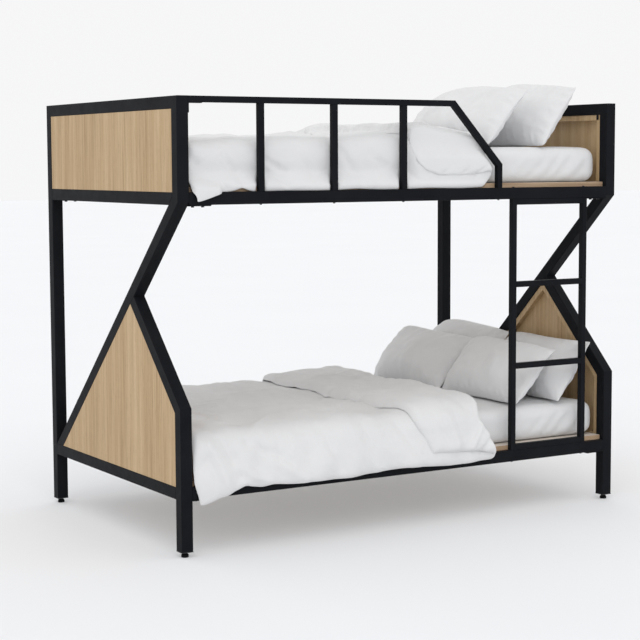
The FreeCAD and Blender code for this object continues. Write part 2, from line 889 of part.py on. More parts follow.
def duvet(label, section, end, edge, over):
    """A blanket with the given section, and the second layer of its folded-back part."""
    start = dim["duvet_end_gap"] - inner_x
    piece = slab(label, "YZ_Plane", section, start, end - start)
    sketch = sketch_on(piece, "YZ_Plane", "FoldOutline", dim["duvet_fold_start"] - start)
    half = edge - 40.0
    polygon(sketch, box_outline(-half, half, over, over + dim["duvet_fold_thick"]))
    pad = piece.newObject("PartDesign::Pad", "FoldPad")
    pad.Profile = sketch
    pad.setExpression("Length", (end - dim["duvet_fold_start"]).text)
    document.recompute()
    return keep(piece)


# each pillow: the bunk, its middle in X, its two edges in Y, and its lean from the upright
PILLOWS = {
    "upper_front_pillow": ("upper", 530.0, -600.0, 50.0, 41.0),
    "upper_rear_pillow": ("upper", 820.0, -600.0, 50.0, 38.0),
    "lower_front_left_pillow": ("lower", 702.0, 2.0, 600.0, 42.5),
    "lower_front_right_pillow": ("lower", 702.0, -600.0, -2.0, 42.5),
    "lower_rear_left_pillow": ("lower", 925.0, 2.0, 600.0, 35.0),
    "lower_rear_right_pillow": ("lower", 925.0, -600.0, -2.0, 35.0),
}


def pillows():
    """Pillows that lean back towards the head end, resting on the mattress."""
    for label, (level, x, low_y, high_y, lean) in PILLOWS.items():
        sizes = (dim["pillow_thick"], Size(high_y - low_y), dim["pillow_tall"])
        radius = dim["pillow_round"]
        piece = rounded_block(label, *sizes, radius)
        half_tall = dim["pillow_tall"] / 2
        half_thick = dim["pillow_thick"] / 2
        cosine, sine = math.cos(math.radians(lean)), math.sin(math.radians(lean))
        lift = (half_tall - radius) * cosine + (half_thick - radius) * sine + radius
        rest = LEVELS[level][1] + dim["deck_thick"] + dim["mattress_thick"] + dim["soft_gap"] * 2
        # the block stands on its own origin, so its foot is half its height back along the lean
        piece.Placement.Rotation = FreeCAD.Rotation(FreeCAD.Vector(0, 1, 0), lean)
        place(
            piece,
            x=Size(x) - half_tall * sine,
            y=Size(low_y),
            z=rest + lift - half_tall * cosine,
        )
        keep(piece)


# ---------------------------------------------------------------- the whole bed


def build():
    head_start = inner_x
    foot_start = -half_length
    end_frame("foot", foot_start)
    end_frame("head", head_start)
    recess, thick = dim["panel_recess"], dim["panel_thick"]
    foot_panel = foot_start + recess
    head_panel = half_length - recess - thick
    foot_bead = foot_panel + thick
    head_bead = head_panel - dim["bead_thick"]
    panels_and_beads("foot", foot_panel, foot_bead)
    panels_and_beads("head", head_panel, head_bead)
    panel_clips(foot_bead + dim["bead_thick"], head_bead - dim["clip_thick"])
    side_rails()
    rail_fixings()
    decks()
    guard_rail()
    ladder()
    tube_fixings()
    leg_ends()
    mattresses()
    duvets()
    pillows()
    document.recompute()


def check_document():
    """Stops if any object failed, or if a sub-part has no valid shape."""
    for thing in document.Objects:
        if {"Invalid", "Error"} & set(thing.State):
            raise ValueError(f"{thing.Label} failed: {thing.State}")
    for piece in nodes:
        if piece.Shape.isNull() or not piece.Shape.isValid():
            raise ValueError(f"{piece.Label} has no valid shape")


def export():
    os.makedirs("parts", exist_ok=True)
    for piece in nodes:
        piece.Shape.exportStep(f"parts/{piece.Label}.step")
    print(f"{len(nodes)} nodes")


build()
check_document()
export()
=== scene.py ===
import math

import bmesh
import bpy
import numpy as np
from mathutils import Matrix, Vector, noise


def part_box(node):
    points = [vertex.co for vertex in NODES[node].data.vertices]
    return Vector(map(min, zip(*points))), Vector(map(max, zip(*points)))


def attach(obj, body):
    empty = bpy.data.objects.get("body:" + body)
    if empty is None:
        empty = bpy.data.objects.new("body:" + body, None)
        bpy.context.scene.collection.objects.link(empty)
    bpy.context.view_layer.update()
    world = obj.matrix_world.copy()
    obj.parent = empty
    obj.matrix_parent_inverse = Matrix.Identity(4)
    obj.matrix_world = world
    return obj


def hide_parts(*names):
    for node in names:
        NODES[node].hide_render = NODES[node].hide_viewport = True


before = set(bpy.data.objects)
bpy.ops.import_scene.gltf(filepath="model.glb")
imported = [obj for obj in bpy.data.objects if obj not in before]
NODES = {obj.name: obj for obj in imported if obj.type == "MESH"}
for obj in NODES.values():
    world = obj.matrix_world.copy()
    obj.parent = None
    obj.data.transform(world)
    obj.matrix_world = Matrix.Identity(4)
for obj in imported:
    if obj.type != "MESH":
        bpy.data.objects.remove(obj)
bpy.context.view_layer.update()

MM = 0.001


# ---------------------------------------------------------------- materials

# a colour mix node's factor and its two colours among its inputs, and its colour output
COLOUR_MIX_INPUTS = (0, 6, 7)
COLOUR_MIX_OUTPUT = 2


class Shader:
    """A material's node tree, with short calls for the nodes it is built from.

    Textures are placed in each object's own coordinates, in metres.
    """

    def __init__(self, name):
        self.material = bpy.data.materials.new(name)
        self.material.use_nodes = True
        self.tree = self.material.node_tree
        self.surface = self.tree.nodes["Principled BSDF"]
        self.place = self.node("ShaderNodeTexCoord").outputs["Object"]

    def node(self, kind, inputs=(), **settings):
        made = self.tree.nodes.new(kind)
        for key, value in settings.items():
            setattr(made, key, value)
        for key, value in dict(inputs).items():
            self.put(made.inputs[key], value)
        return made

    def put(self, socket, value):
        if isinstance(value, bpy.types.NodeSocket):
            self.tree.links.new(value, socket)
        else:
            socket.default_value = value

    def set(self, **values):
        for key, value in values.items():
            self.put(self.surface.inputs[key.replace("_", " ")], value)

    def scaled(self, scale, turn=(0, 0, 0)):
        return self.node("ShaderNodeMapping", {"Vector": self.place, "Scale": scale,
                                               "Rotation": turn}).outputs["Vector"]

    def noise(self, where, scale, detail=4, roughness=0.55, distortion=0.0):
        return self.node("ShaderNodeTexNoise",
                         {"Vector": where, "Scale": scale, "Detail": detail,
                          "Roughness": roughness, "Distortion": distortion}).outputs["Fac"]

    def bands(self, where, scale, distortion=0.0, direction="X"):
        return self.node("ShaderNodeTexWave",
                         {"Vector": where, "Scale": scale, "Distortion": distortion},
                         bands_direction=direction).outputs["Fac"]

    def ramp(self, factor, *stops):
        made = self.node("ShaderNodeValToRGB", {"Fac": factor})
        elements = made.color_ramp.elements
        while len(elements) < len(stops):
            elements.new(0.5)
        for element, (at, colour) in zip(elements, stops):
            element.position = at
            element.color = (*colour, 1)
        return made.outputs["Color"]

    def levels(self, value, low, high, to_low=0.0, to_high=1.0):
        return self.node("ShaderNodeMapRange",
                         {"Value": value, "From Min": low, "From Max": high,
                          "To Min": to_low, "To Max": to_high}).outputs["Result"]

    def mix(self, factor, first, second):
        made = self.node("ShaderNodeMix", data_type="RGBA")
        for index, value in zip(COLOUR_MIX_INPUTS, (factor, first, second)):
            self.put(made.inputs[index], value)
        return made.outputs[COLOUR_MIX_OUTPUT]

    def maths(self, operation, first, second):
        made = self.node("ShaderNodeMath", operation=operation)
        self.put(made.inputs[0], first)
        self.put(made.inputs[1], second)
        return made.outputs[0]

    def bump(self, height, distance, strength=1.0, below=None):
        made = self.node("ShaderNodeBump", {"Height": height, "Distance": distance,
                                            "Strength": strength})
        if below is not None:
            self.put(made.inputs["Normal"], below)
        return made.outputs["Normal"]


def powder_coat(name, dark, light, rough):
    """Matte black powder coat: a fine orange-peel skin with faint rubbed patches."""
    s = Shader(name)
    patches = s.noise(s.place, 7, 5)
    peel = s.noise(s.place, 900, 3)
    speck = s.noise(s.place, 2600, 2)
    s.set(Base_Color=s.ramp(patches, (0.3, dark), (0.75, light)),
          Roughness=s.levels(s.noise(s.place, 22, 6), 0.25, 0.75, rough - 0.05, rough + 0.08),
          Specular_IOR_Level=0.42, IOR=1.12,
          Normal=s.bump(speck, 0.00004, 0.5, s.bump(peel, 0.00012, 0.7)))
    return s.material


def zinc(name):
    """Black zinc-plated steel with fine turning marks."""
    s = Shader(name)
    turning = s.bands(s.place, 900, 0.5, "Z")
    s.set(Base_Color=s.ramp(s.noise(s.place, 60, 5), (0.3, (0.040, 0.040, 0.044)),
                            (0.7, (0.066, 0.066, 0.070))),
          Metallic=1.0, Roughness=s.levels(s.noise(s.place, 150, 4), 0.2, 0.8, 0.28, 0.45),
          Normal=s.bump(turning, 0.00005, 0.4))
    return s.material


def moulded_plastic(name):
    """Black moulded plastic with a fine spark-eroded texture."""
    s = Shader(name)
    grain = s.noise(s.place, 1600, 4)
    s.set(Base_Color=s.ramp(s.noise(s.place, 30, 4), (0.3, (0.012, 0.012, 0.013)),
                            (0.7, (0.022, 0.022, 0.023))),
          Roughness=s.levels(grain, 0.3, 0.7, 0.45, 0.62), Specular_IOR_Level=0.4,
          Normal=s.bump(grain, 0.0001, 0.5))
    return s.material


def oak(name):
    """Light oak veneer, its grain running up the panel: broad tone, figure, streaks, pores."""
    s = Shader(name)
    plank = s.noise(s.scaled((5.2, 5.2, 0.16)), 1.0, 2)
    figure = s.bands(s.scaled((1, 1, 0.045)), 8.5, 5.5, "DIAGONAL")
    streaks = s.noise(s.scaled((64, 64, 1.3)), 1.0, 8, 0.68, 0.25)
    threads = s.levels(s.noise(s.scaled((150, 150, 3.2)), 1.0, 3, 0.5), 0.56, 0.74)
    fibres = s.noise(s.scaled((420, 420, 5.5)), 1.0, 4, 0.6)
    pores = s.levels(s.noise(s.scaled((620, 620, 24)), 1.0, 2), 0.60, 0.72)
    tone = s.ramp(s.maths("ADD", s.maths("MULTIPLY", streaks, 0.62),
                          s.maths("MULTIPLY", plank, 0.38)),
                  (0.34, (0.350, 0.222, 0.102)), (0.46, (0.488, 0.340, 0.180)),
                  (0.56, (0.560, 0.408, 0.230)), (0.68, (0.628, 0.478, 0.288)))
    tone = s.mix(0.16, tone, s.ramp(figure, (0.2, (0.42, 0.27, 0.14)),
                                    (0.8, (0.66, 0.50, 0.33))))
    tone = s.mix(s.levels(fibres, 0.3, 0.75, 0.22, 0.0), tone, (0.30, 0.18, 0.09, 1))
    tone = s.mix(s.maths("MULTIPLY", threads, 0.55), tone, (0.255, 0.160, 0.078, 1))
    tone = s.mix(s.maths("MULTIPLY", pores, 0.5), tone, (0.17, 0.095, 0.045, 1))
    s.set(Base_Color=tone, Roughness=s.levels(fibres, 0.3, 0.7, 0.46, 0.62),
          Specular_IOR_Level=0.32,
          Normal=s.bump(pores, 0.00025, -0.6, s.bump(fibres, 0.00015, 0.5)))
    return s.material


def plywood(name):
    """Birch plywood: a pale face, and an edge that shows its grain and thin dark veneers."""
    s = Shader(name)
    plies = s.bands(s.scaled((0, 0, 1)), 105.0, 0.0, "Z")
    grain = s.noise(s.scaled((2.5, 95, 95)), 1.0, 6, 0.6)
    fibres = s.noise(s.scaled((30, 900, 30)), 1.0, 3)
    tone = s.ramp(grain, (0.32, (0.42, 0.27, 0.15)), (0.55, (0.60, 0.43, 0.27)),
                  (0.72, (0.70, 0.54, 0.36)))
    facing = s.node("ShaderNodeSeparateXYZ",
                    {"Vector": s.node("ShaderNodeNewGeometry").outputs["Normal"]}).outputs["Z"]
    edge = s.levels(s.maths("ABSOLUTE", facing, 0.0), 0.4, 0.6, 1.0, 0.0)
    tone = s.mix(s.levels(edge, 0.0, 1.0, 0.72, 0.10), tone, (0.71, 0.69, 0.655, 1))
    dark = s.maths("MULTIPLY", edge, s.levels(plies, 0.30, 0.62, 0.72, 0.0))
    tone = s.mix(dark, tone, (0.20, 0.105, 0.05, 1))
    s.set(Base_Color=tone, Roughness=s.levels(fibres, 0.3, 0.7, 0.55, 0.72),
          Specular_IOR_Level=0.3,
          Normal=s.bump(fibres, 0.0002, 0.5, s.bump(plies, 0.0004, 0.3)))
    return s.material


def cotton(name, light, dark, crease, thread=0.75 * MM):
    """Plain-woven cotton: crossed threads, slubs, small soft creases and a faint nap."""
    s = Shader(name)
    place = s.node("ShaderNodeSeparateXYZ", {"Vector": s.place}).outputs
    over = s.maths("ADD", place["Y"], place["Z"])
    turn = 2 * math.pi / thread
    warp = s.maths("SINE", s.maths("MULTIPLY", place["X"], turn), 0.0)
    weft = s.maths("SINE", s.maths("MULTIPLY", over, turn), 0.0)
    weave = s.maths("MULTIPLY", warp, weft)
    slub = s.noise(s.scaled((60, 900, 900)), 1.0, 3)
    soft = s.noise(s.place, 9, 5, 0.6, 0.6)
    small = s.noise(s.place, 46, 4, 0.6, 0.8)
    tone = s.ramp(s.noise(s.place, 5, 6), (0.3, dark), (0.7, light))
    tone = s.mix(s.levels(slub, 0.45, 0.8, 0.0, 0.10), tone,
                 (dark[0] * 0.8, dark[1] * 0.8, dark[2] * 0.8, 1))
    normal = s.bump(soft, 0.006 * crease, 0.5)
    normal = s.bump(small, 0.0016 * crease, 0.5, normal)
    normal = s.bump(weave, 0.00012, 0.5, normal)
    s.set(Base_Color=tone, Roughness=s.levels(slub, 0.3, 0.7, 0.82, 0.93),
          Specular_IOR_Level=0.22, Sheen_Weight=0.12, Sheen_Roughness=0.5, Normal=normal)
    return s.material


def studio_floor(name):
    """Plain pale paper with a faint glow of painted light, which lifts the shadows on it as bounced
    studio light would.
    """
    s = Shader(name)
    # the emission is painted light: an even glow that lightens the floor's shadows
    s.set(Base_Color=s.ramp(s.noise(s.place, 0.6, 2), (0.3, (0.686, 0.696, 0.713)),
                            (0.7, (0.696, 0.706, 0.723))),
          Roughness=0.75, Specular_IOR_Level=0.12,
          Emission_Color=(0.93, 0.93, 0.935, 1), Emission_Strength=0.19)
    return s.material


# ---------------------------------------------------------------- mesh helpers

SEED_STEP = 7.31           # how far apart in the noise two seeds are


def smooth(x):
    """0 below 0, 1 above 1, with an even S between."""
    t = np.clip(x, 0, 1)
    return t * t * (3 - 2 * t)


def bell(x, centre, width):
    """1 at the centre, fading to nothing over about twice the width."""
    return np.exp(-((x - centre) / width) ** 2)


def wander(x, y, size, seed, octaves=3):
    """Smooth noise from -1 to 1 over two arrays, with features about size metres wide."""
    flat_x, flat_y = x.ravel() / size, y.ravel() / size
    values = [noise.fractal((a, b, seed * SEED_STEP), 0.9, 2.0, octaves)
              for a, b in zip(flat_x, flat_y)]
    return np.array(values).reshape(x.shape)


def mesh_object(name, points, faces, material, levels=0):
    """A smooth-shaded object in the scene, subdivided that many times."""
    mesh = bpy.data.meshes.new(name)
    mesh.from_pydata([tuple(p) for p in points], [], faces)
    mesh.update()
    mesh.polygons.foreach_set("use_smooth", [True] * len(mesh.polygons))
    obj = bpy.data.objects.new(name, mesh)
    bpy.context.scene.collection.objects.link(obj)
    mesh.materials.append(material)
    if levels:
        add = obj.modifiers.new("Subdivision", "SUBSURF")
        add.levels = add.render_levels = levels
    return obj


def shell_faces(rows, columns):
    """Faces of a closed shell from two grids of rows x columns points, outer then inner."""
    at = np.arange(2 * rows * columns).reshape(2, rows, columns)
    faces = []
    for side in (0, 1):
        g = at[side]
        quads = np.stack([g[:-1, :-1], g[1:, :-1], g[1:, 1:], g[:-1, 1:]], -1).reshape(-1, 4)
        faces += (quads[:, ::-1] if side == 0 else quads).tolist()
    ring = ([(i, 0) for i in range(rows)] + [(rows - 1, j) for j in range(1, columns)]
            + [(i, columns - 1) for i in range(rows - 2, -1, -1)]
            + [(0, j) for j in range(columns - 2, 0, -1)])
    for (i, j), (k, l) in zip(ring, ring[1:] + ring[:1]):
        faces.append([at[0, i, j], at[0, k, l], at[1, k, l], at[1, i, j]])
    return [[int(v) for v in face] for face in faces]


def outward(obj):
    """Turns every face to look out of the closed mesh."""
    work = bmesh.new()
    work.from_mesh(obj.data)
    bmesh.ops.recalc_face_normals(work, faces=work.faces)
    work.to_mesh(obj.data)
    work.free()


def coordinates(obj):
    """The places of an object's vertices, one row each."""
    got = np.zeros(len(obj.data.vertices) * 3)
    obj.data.vertices.foreach_get("co", got)
    return got.reshape(-1, 3)


def set_coordinates(obj, points):
    obj.data.vertices.foreach_set("co", np.asarray(points, float).ravel())
    obj.data.update()


def add_cloth(obj, frames, pressure, shrink, hold):
    """A cloth modifier without gravity or collisions; hold pins every vertex softly."""
    group = obj.vertex_groups.new(name="hold")
    group.add(list(range(len(obj.data.vertices))), 1.0, "REPLACE")
    cloth = obj.modifiers.new("Cloth", "CLOTH")
    s = cloth.settings
    s.quality = 6
    s.mass = 0.25
    s.air_damping = 2.0
    s.tension_stiffness = s.compression_stiffness = 8.0
    s.shear_stiffness = 4.8
    s.bending_stiffness = 0.08
    s.use_pressure = True
    s.uniform_pressure_force = pressure
    s.shrink_min = s.shrink_max = shrink
    s.effector_weights.gravity = 0
    s.vertex_group_mass = group.name
    s.pin_stiffness = hold
    cloth.collision_settings.use_collision = False
    cloth.point_cache.frame_start, cloth.point_cache.frame_end = 1, frames
    return cloth


def settle(obj, frames, pressure, cap, shrink, hold):
    """Lets cloth pressure swell and wrinkle obj, then keeps each move within cap metres.

    The shapes are already draped, so the run has no gravity.
    """
    start = coordinates(obj)
    for other in obj.modifiers:
        other.show_viewport = False
    cloth = add_cloth(obj, frames, pressure, shrink, hold)
    scene = bpy.context.scene
    for number in range(1, frames + 1):
        scene.frame_set(number)
    settled = coordinates(obj.evaluated_get(bpy.context.evaluated_depsgraph_get()))
    obj.modifiers.remove(cloth)
    for other in obj.modifiers:
        other.show_viewport = True
    obj.vertex_groups.clear()
    scene.frame_set(1)
    move = settled - start
    length = np.linalg.norm(move, axis=1, keepdims=True)
    length[length == 0] = 1
    set_coordinates(obj, start + move / length * np.tanh(length / cap) * cap)


def finish_piece(obj, cad_node):
    """Puts a soft piece on the bed in place of its CAD solid."""
    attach(obj, "root")
    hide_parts(cad_node)
    return obj


# ---------------------------------------------------------------- mattresses

def rounded_box(low, high, radius, step):
    """Points and faces of a box whose edges have that radius, in squares of about step."""
    low, high = np.array(low), np.array(high)
    counts = np.maximum(2, np.round((high - low) / step).astype(int))
    points, faces, index = [], [], {}

    def number(key):
        if key not in index:
            index[key] = len(points)
            points.append(low + (high - low) * np.array(key) / counts)
        return index[key]

    for axis in range(3):
        b, c = (axis + 1) % 3, (axis + 2) % 3
        for end in (0, counts[axis]):
            for i in range(counts[b]):
                for j in range(counts[c]):
                    corners = []
                    for di, dj in ((0, 0), (1, 0), (1, 1), (0, 1)):
                        key = [0, 0, 0]
                        key[axis], key[b], key[c] = int(end), i + di, j + dj
                        corners.append(number(tuple(key)))
                    faces.append(corners if end else corners[::-1])
    points = np.array(points)
    inner = np.clip(points, low + radius, high - radius)
    out = points - inner
    length = np.linalg.norm(out, axis=1, keepdims=True)
    return inner + out / np.maximum(length, 1e-9) * radius, faces


FAR_CORNER = 170 * MM      # how round the lower bedding's far foot corner is, from above
HEAD_REACH = 15 * MM       # how far a made-up mattress reaches past its block at the head end
MATTRESS_ROUND, MATTRESS_MESH = 48 * MM, 16 * MM

# creases of the fitted sheet at the front head corner: from along, down to along, down, measured
# from the top of the corner, then a width in metres and a height in millimetres
SHEET_PULLS = [(0.30, 0.14, 0.20, 0.03, 0.012, -8), (0.25, 0.15, 0.15, 0.05, 0.011, -8),
               (0.19, 0.15, 0.10, 0.06, 0.011, 6), (0.38, 0.13, 0.29, 0.05, 0.013, -6),
               (0.12, 0.14, 0.06, 0.07, 0.010, -6), (0.47, 0.12, 0.40, 0.04, 0.012, 5)]


def round_far_corner(x, y, low_x, high_y, radius):
    """Draws the far foot corner in to a round of that radius, seen from above."""
    dx, dy = x - (low_x + radius), y - (high_y - radius)
    reach = np.maximum(np.abs(dx), np.abs(dy))
    scale = np.where((dx < 0) & (dy > 0), reach / np.maximum(np.hypot(dx, dy), 1e-9), 1.0)
    return x + dx * (scale - 1), y + dy * (scale - 1)


def mattress(node, material, seed, corner_round=0.0):
    """A foam mattress in a fitted sheet: crowned top, sheet creases near the front head corner."""
    low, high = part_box(node)
    high.x += HEAD_REACH
    points, faces = rounded_box(low, high, MATTRESS_ROUND, MATTRESS_MESH)
    x, y, z = points.T

    # -1 to 1 across and along it, and 1 at its top, on its long sides and on its ends
    middle, half = (np.array(low) + np.array(high)) / 2, (np.array(high) - np.array(low)) / 2
    across = np.clip((y - middle[1]) / half[1], -1, 1)
    along = np.clip((x - middle[0]) / half[0], -1, 1)
    up = smooth((z - middle[2]) / half[2])
    side = np.clip((np.abs(across) - 0.93) / 0.07, 0, 1)
    end = np.clip((np.abs(along) - 0.96) / 0.04, 0, 1)

    # the top: a crown, creases that fan out from the corner and soft ripples
    crown = 5 * MM * (1 - across ** 4) * (1 - along ** 8) * up
    corner = np.array([high[0], low[1], high[2]])
    reach = np.hypot(x - corner[0], y - corner[1])
    turn = np.arctan2(y - corner[1], corner[0] - x)
    pulls = (np.sin(turn * 13 + 3 * wander(x, y, 0.22, seed, 2)) * 3.2 * MM
             * bell(reach, 0.10, 0.16) * up * (1 - side))
    ripple = wander(x * 1.7 + z, z * 2.2 - y, 0.16, seed + 2) * 2.2 * MM
    points[:, 2] += crown + pulls + ripple * up * (1 - side) * 0.8

    # the sides: gathers near the bottom, slanting creases and a swelling head end
    fall = (z - low[2]) / (high[2] - low[2])
    gather = np.sin((x + y * 1.1) * 95 + 3 * wander(x, z, 0.15, seed + 4, 2))
    tuck = 1.4 * MM * gather * (1 - smooth(fall / 0.45))
    drape = fold_lines(corner[0] - x, corner[2] - z, SHEET_PULLS)
    push = (tuck + drape + ripple) * smooth(fall * 5) * (1 - smooth((fall - 0.8) * 5))
    points[:, 1] += np.sign(across) * side * (push - 2 * MM)
    bulge = 9 * MM * np.sin(math.pi * np.clip(fall, 0, 1)) * (along > 0)
    points[:, 0] += np.sign(along) * end * (push + bulge - 2 * MM)
    if corner_round:
        points[:, 0], points[:, 1] = round_far_corner(points[:, 0], points[:, 1], low[0], high[1],
                                                      corner_round)
    obj = mesh_object(node + "_sheeted", points, faces, material, 1)
    outward(obj)
    return finish_piece(obj, node)


# ---------------------------------------------------------------- pillows

# each pillow: its lean in degrees, the crown of its top edge, how far its end at the back of
# the bed rides up and how far that end has slid towards the foot
PILLOWS = {"upper_front_pillow": (41.2, 22 * MM, 32 * MM, 42 * MM),
           "upper_rear_pillow": (37.6, 32 * MM, 8 * MM, 0),
           "lower_front_left_pillow": (42.4, 2 * MM, 12 * MM, 0),
           "lower_front_right_pillow": (42.4, 4 * MM, 8 * MM, 0),
           "lower_rear_left_pillow": (34.7, 10 * MM, 26 * MM, 0),
           "lower_rear_right_pillow": (34.7, -4 * MM, 14 * MM, 0)}
PILLOW_TALL, PILLOW_THICK = 318 * MM, 176 * MM
PILLOW_MESH = 9 * MM
SEAM_HALF = 1.2 * MM       # half the thickness at the seam
PUCKER_PITCH = 52 * MM


def pillow_points(wide, crown, ride_up, seed):
    """The two faces of a pillow that lies flat, and the columns and rows of their grids."""
    columns, rows = int(wide / PILLOW_MESH), int(PILLOW_TALL / PILLOW_MESH)
    # p runs across the bed and q up the pillow, each from -1 to 1
    p, q = np.meshgrid(np.linspace(-1, 1, columns), np.linspace(-1, 1, rows), indexing="ij")

    # the outline: rounder corners at the back of the bed, a crowned top, a slight waist
    far = smooth(p * 2 - 0.6)
    round_far = 1 - 0.075 * far * np.abs(q) ** 5
    waist = (1 - 0.020 * (1 - q ** 2)) * round_far
    across = p * wide / 2 * waist
    height = q * PILLOW_TALL / 2 * (1 - 0.16 * far * np.abs(p) ** 9 * (q > 0))
    arch = (1 - p ** 2) ** 1.2
    height += np.where(q > 0, crown * arch + ride_up * (p + 1) / 2, 6 * MM * arch) * q ** 2

    # the stuffing: a dome that is lumpy and heavier low down, with puckers beside the seam
    dome = (1 - p ** 2) ** 0.58 * (1 - q ** 2) ** 0.66 * 1.05
    lump = 1 + 0.30 * wander(across, height, 0.2, seed)
    sag = 1 - 0.20 * q
    half = PILLOW_THICK / 2 * dome * lump * sag + SEAM_HALF
    curl = 30 * MM * wander(across, height, 0.35, seed + 1, 2) * (np.abs(p) + np.abs(q)) / 2
    edge = np.minimum(1 - np.abs(p), (1 - np.abs(q)) * 0.55)
    along = np.where(1 - np.abs(p) < (1 - np.abs(q)) * 0.55, height, across)
    pucker = (np.sin(along * 2 * math.pi / PUCKER_PITCH
                     + 5 * wander(across, height, 0.1, seed + 2, 2))
              * 2.6 * MM * bell(edge, 0.07, 0.07))
    points = np.concatenate([
        np.stack([across, height, curl + side * (half + pucker)], -1).reshape(-1, 3)
        for side in (1, -1)])
    return points, columns, rows


def leaning(points, low, high, lean, slide):
    """A pillow's points with it leaning back on its lower edge, which the mattress presses flat."""
    wide = high[1] - low[1]
    points = points * np.array([wide / np.ptp(points[:, 0]), 1, 1])
    tilt = math.radians(lean)
    up = np.array([math.sin(tilt), 0, math.cos(tilt)])
    back = np.array([math.cos(tilt), 0, -math.sin(tilt)])
    middle = (low + high) / 2
    placed = (middle + points[:, :1] * np.array([0, 1, 0]) + points[:, 1:2] * up
              + points[:, 2:] * back)
    far_end = smooth(points[:, 0] / (wide / 2) * 0.8 + 0.2)
    placed[:, 0] -= slide * far_end * (0.7 - 0.45 * points[:, 1] / PILLOW_TALL)
    rest, soft = low[2] + 1 * MM, 12 * MM
    squeezed = rest + soft * np.exp((placed[:, 2] - rest - soft) / soft)
    placed[:, 2] = np.where(placed[:, 2] < rest + soft, squeezed, placed[:, 2])
    return placed


def pillow(node, material, seed):
    """A stuffed pillow: two layers sewn at the edge, swollen by pressure, leaning back."""
    lean, crown, ride_up, slide = PILLOWS[node]
    low, high = (np.array(corner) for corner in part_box(node))
    points, columns, rows = pillow_points(high[1] - low[1], crown, ride_up, seed)
    obj = mesh_object(node + "_stuffed", points, shell_faces(columns, rows), material, 1)
    outward(obj)
    settle(obj, frames=24, pressure=3.0, cap=14 * MM, shrink=-0.09, hold=0.04)
    set_coordinates(obj, leaning(coordinates(obj), low, high, lean, slide))
    return finish_piece(obj, node)


# ---------------------------------------------------------------- duvets

DUVET_ROWS = (140, 9, 52)  # along the bed, round the fold, back along the flap
DUVET_COLUMNS = 176
TOP_SHARE = 0.62           # the share of the columns that lies on top of the bed
ROUGH_HANG = 280 * MM      # about how far a side hangs, before its hem is known
HANG_TURN = 120 * MM       # the stretch over which the top turns into the hang
LAYER_GAP = 1.5 * MM       # between the mattress and the layers
HEM_ROUND, HEM_THICK = 34 * MM, 2.5 * MM
LIP_ROUND = 60 * MM        # how far in from the flap's loose edge it is pressed down


class Side:
    """The line a duvet follows across a bed, by distance from the bed's centre line."""

    def __init__(self, corners, radius):
        """corners are (y, z) in metres from the centre line outwards; radius rounds the edge."""
        line = []
        for number, (y, z) in enumerate(corners):
            if number in (0, len(corners) - 1):
                line.append((y, z))
                continue
            here = np.array([y, z])
            before = np.array(corners[number - 1]) - here
            after = np.array(corners[number + 1]) - here
            before_long, after_long = np.linalg.norm(before), np.linalg.norm(after)
            r = min(radius, before_long / 2.2, after_long / 2.2)
            start = here + before / before_long * r
            finish = here + after / after_long * r
            for t in np.linspace(0, 1, 14):
                line.append(tuple((1 - t) ** 2 * start + 2 * t * (1 - t) * here + t ** 2 * finish))
        line = np.array(line)
        step = np.hypot(*np.diff(line, axis=0).T)
        self.distance = np.concatenate([[0], np.cumsum(step)])
        self.line = line

    def place(self, d):
        """y and z at distances d from the centre line."""
        return (np.interp(d, self.distance, self.line[:, 0]),
                np.interp(d, self.distance, self.line[:, 1]))

    def at(self, a):
        """y, z and the outward direction at signed distances a; front is negative."""
        d = np.abs(a)
        y, z = self.place(d)
        y_after, z_after = self.place(d + 4 * MM)
        y_before, z_before = self.place(d - 4 * MM)
        dy, dz = y_after - y_before, z_after - z_before
        size = np.maximum(np.hypot(dy, dz), 1e-9)
        sign = np.where(a < 0, -1.0, 1.0)
        return y * sign, z, -dz / size * sign, dy / size

    def down_to(self, z):
        """The distance at which the line has come down to height z."""
        return np.interp(-np.asarray(z), -self.line[:, 1], self.distance)


def fold_lines(u, w, lines):
    """How far folds stand out: each is u, w to u, w, a width in metres and a height in mm."""
    out = np.zeros(u.shape)
    for u1, w1, u2, w2, wide, high in lines:
        du, dw = u2 - u1, w2 - w1
        along = np.clip(((u - u1) * du + (w - w1) * dw) / (du * du + dw * dw), 0, 1)
        out += high * MM * bell(np.hypot(u - u1 - along * du, w - w1 - along * dw), 0, wide)
    return out


def edge_round(d, width):
    """0 at a sewn edge, 1 further in than width, as a padded edge swells."""
    t = np.clip(d / width, 0, 1)
    return np.sqrt(1 - (1 - t) ** 2)


def spread(c, flat, hang):
    """Distances from the bed's centre line for c from -1 to 1: flat on top, then the hang."""
    size = np.abs(c)
    return np.sign(c) * np.where(size < TOP_SHARE, size / TOP_SHARE * flat,
                                 flat + (size - TOP_SHARE) / (1 - TOP_SHARE) * hang)


def duvet_grid():
    """The grids v, along a duvet, and c, across it.

    v runs from 0 to 1 along the bed, from 1 to 2 round the fold and from 2 to 3 back along the
    flap. c runs from -1 at the front hem over the bed to 1 at the back hem.
    """
    below, fold, above = DUVET_ROWS
    run = np.concatenate([np.linspace(0, 1, below, endpoint=False),
                          1 + np.linspace(0, 1, fold, endpoint=False),
                          2 + np.linspace(0, 1, above)])
    return np.meshgrid(run, np.linspace(-1, 1, DUVET_COLUMNS), indexing="ij")


def by_part(v, along, fold, flap):
    """Picks a value for each part of a duvet: along the bed, round the fold and on the flap."""
    return np.where(v < 1, along, np.where(v < 2, fold, flap))


